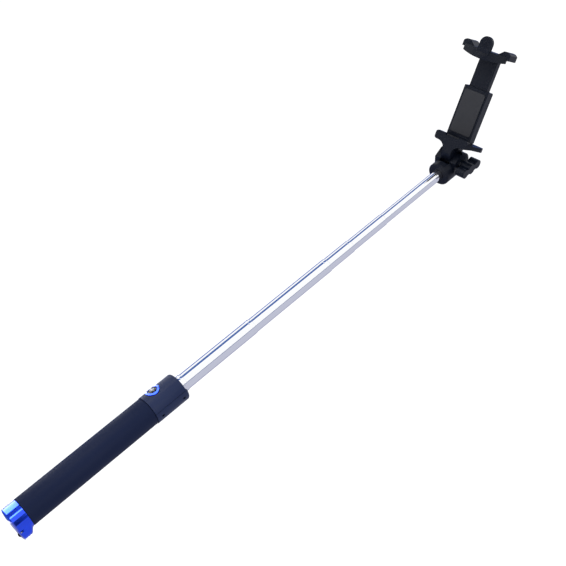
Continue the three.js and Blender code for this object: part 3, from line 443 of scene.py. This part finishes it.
jaw = corners("upper_jaw")
tab_top = jaw[:, 2].max()
tab_face = jaw[jaw[:, 2] > tab_top - TAB_FACE_WITHIN * MM][:, 1].min()
for number in range(RIBS):
    drop = FIRST_RIB + RIB_PITCH * number
    half = math.sqrt(TAB_RADIUS**2 - (TAB_RADIUS - drop) ** 2) * RIB_SHARE
    thumb_rib(number, np.array([0, tab_face, tab_top - drop * MM]), half)

# ---------------------------------------------------------------- camera
# Where the viewer stands: turn and height of the line of sight, its roll, and its place.
AZIMUTH, ELEVATION, ROLL = (math.radians(a) for a in (34.94, 21.39, 18.25))
VIEWER = (0.35592, -0.35035, 0.36597)
SENSOR_MM = 36
LENS_MM = 52.16
back = Vector((math.sin(AZIMUTH) * math.cos(ELEVATION), -math.cos(AZIMUTH) * math.cos(ELEVATION),
               math.sin(ELEVATION)))
level = Vector((math.cos(AZIMUTH), math.sin(AZIMUTH), 0))
right = level * math.cos(ROLL) + back.cross(level) * math.sin(ROLL)
camera = bpy.data.objects.new("camera", bpy.data.cameras.new("camera"))
camera.data.sensor_width = SENSOR_MM
camera.data.lens = LENS_MM
camera.matrix_world = Matrix.Translation(VIEWER) @ Matrix(
    (right, back.cross(right), back)).transposed().to_4x4()
put_in_scene(camera)
bpy.context.scene.camera = camera

# ---------------------------------------------------------------- floor and light
FLOOR_HALF = 12
FLOOR_DROP = 1.2  # below the object's lowest point, so that the cards stand clear of the floor
WORLD_STRENGTH = 1.1
lowest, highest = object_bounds()
middle_of_all = (lowest + highest) / 2
floor_corners = np.array([(x * FLOOR_HALF, y * FLOOR_HALF, lowest.z - FLOOR_DROP)
                          for x, y in ((-1, -1), (1, -1), (1, 1), (-1, 1))])
floor_mesh = mesh_of("floor", floor_corners, [(0, 1, 2, 3)], closed=False)
floor_mesh.materials.append(finish_of("matt_white_backdrop", "#fbfbfd",
                                      roughness=0.9, spread=0.02, grain_mm=2.0, bump_mm=0.0))
floor = bpy.data.objects.new("floor", floor_mesh)
put_in_scene(floor)

world = bpy.data.worlds.new("studio")
world.use_nodes = True
world.node_tree.nodes["Background"].inputs["Color"].default_value = linear("#ffffff")
world.node_tree.nodes["Background"].inputs["Strength"].default_value = WORLD_STRENGTH
bpy.context.scene.world = world


def softbox(name, direction, distance, width, height, watts, colour):
    """A softbox that faces the object's middle from a direction."""
    light = bpy.data.lights.new(name, "AREA")
    light.shape = "RECTANGLE"
    light.size = width
    light.size_y = height
    light.energy = watts
    light.color = linear(colour)[:3]
    lamp = bpy.data.objects.new(name, light)
    toward = Vector(direction).normalized()
    lamp.location = middle_of_all + toward * distance
    lamp.rotation_euler = toward.to_track_quat("Z", "Y").to_euler()
    put_in_scene(lamp)


# Studio cards. Each is a strip of a wide cylinder round the stick's axis. The mirror rule puts it:
# a side that is turned by t shows what lies at 2t less the viewer's own turn.
CARD_RADIUS = 0.6
NEAR_RADIUS = 0.5
CARD_STEPS = 40
eye = np.array(camera.location)
eye_along = float(eye @ ALONG)
eye_across = eye - eye_along * ALONG
eye_distance = float(np.linalg.norm(eye_across))
eye_turn = math.atan2(float(eye_across @ UP), float(eye_across @ ACROSS))


def card(name, first_mm, last_mm, from_turn, to_turn, colour, strength=1.0, radius=CARD_RADIUS):
    """A glowing strip that shows in the stick between two stations, from the end of the cap, and two
    turns in degrees. Its own stations lie on from those, where the mirrored lines of sight end."""
    reach = radius / eye_distance
    stations = np.array([first_mm, last_mm]) * MM - HOLD
    stations = (stations * (1 + reach) - eye_along * reach)[:, None]
    turn = 2 * np.radians(np.linspace(from_turn, to_turn, CARD_STEPS))[None, :] - eye_turn
    index = np.arange(2 * CARD_STEPS).reshape(2, CARD_STEPS)
    faces = np.stack([index[0, :-1], index[0, 1:], index[1, 1:], index[1, :-1]], -1)
    mesh = mesh_of(name, place(stations, radius, turn), faces.tolist(), closed=False)
    material = bpy.data.materials.new(name + "_glow")
    material.use_nodes = True
    tree = material.node_tree
    tree.nodes.clear()
    glow = add(tree, "ShaderNodeEmission", Color=linear(colour), Strength=strength)
    add(tree, "ShaderNodeOutputMaterial", [("Surface", glow, "Emission")])
    mesh.materials.append(material)
    strip = bpy.data.objects.new(name, mesh)
    for ray in ("camera", "diffuse", "shadow", "transmission", "volume_scatter"):
        setattr(strip, "visible_" + ray, False)
    put_in_scene(strip)


# All round the stick and well past both its ends, so that its tubes mirror bands from any side. From
# the viewer's place they are a blue edge, white, a steel-blue line, white, a thin dark line and a
# lilac-grey side with a darker edge.
PAST_BOTH_ENDS = (-1300, 1900)
card("edge_card", *PAST_BOTH_ENDS, 118, 144, "#4468b8")
card("upper_white_card", *PAST_BOTH_ENDS, 99, 118, "#ffffff", 1.1)
card("blue_line_card", *PAST_BOTH_ENDS, 83, 99, "#4a6cae")
card("white_card", *PAST_BOTH_ENDS, 41.4, 83, "#ffffff", 1.1)
card("dark_line_card", *PAST_BOTH_ENDS, 38.4, 41.4, "#4a6090")
card("shade_card", *PAST_BOTH_ENDS, -10, 38.4, "#c8cada")
card("low_edge_card", *PAST_BOTH_ENDS, -35.7, -10, "#a4a7bf")
# Nearer cards for the handle, placed for the viewer. From other sides they show as a pale stretch on
# the tubes. Collar: a soft band and the light in the bezel.
card("collar_band_card", 120, 152, 54, 76, "#a4aac8", 4.0, NEAR_RADIUS)
card("bezel_card", 125, 141, 78, 130, "#ffffff", 4.0, NEAR_RADIUS)
# Across the cap, from its upper side down: pale, deep, thin pale, bright, black and royal.
CAP = (-4, 11.5)
card("cap_pale_card", *CAP, 88, 152, "#ffffff", 7.0, NEAR_RADIUS)
card("cap_deep_card", *CAP, 71, 88, "#8890a8", 1.0, NEAR_RADIUS)
card("cap_thin_card", *CAP, 66, 71, "#ffffff", 7.0, NEAR_RADIUS)
card("cap_bright_card", *CAP, 51, 66, "#ffffff", 1.1, NEAR_RADIUS)
card("cap_black_card", *CAP, 34, 51, "#3a3f4e", 1.0, NEAR_RADIUS)
card("cap_royal_card", *CAP, -60, 34, "#c9c8d4", 1.0, NEAR_RADIUS)

softbox("key_softbox", direction=(-0.5, -0.6, 1.0), distance=1.4, width=0.9, height=0.9,
        watts=9, colour="#ffffff")
softbox("fill_softbox", direction=(1.0, -0.3, 0.4), distance=1.6, width=0.7, height=1.2,
        watts=4, colour="#f4f6ff")

bpy.context.scene.view_settings.view_transform = "Standard"
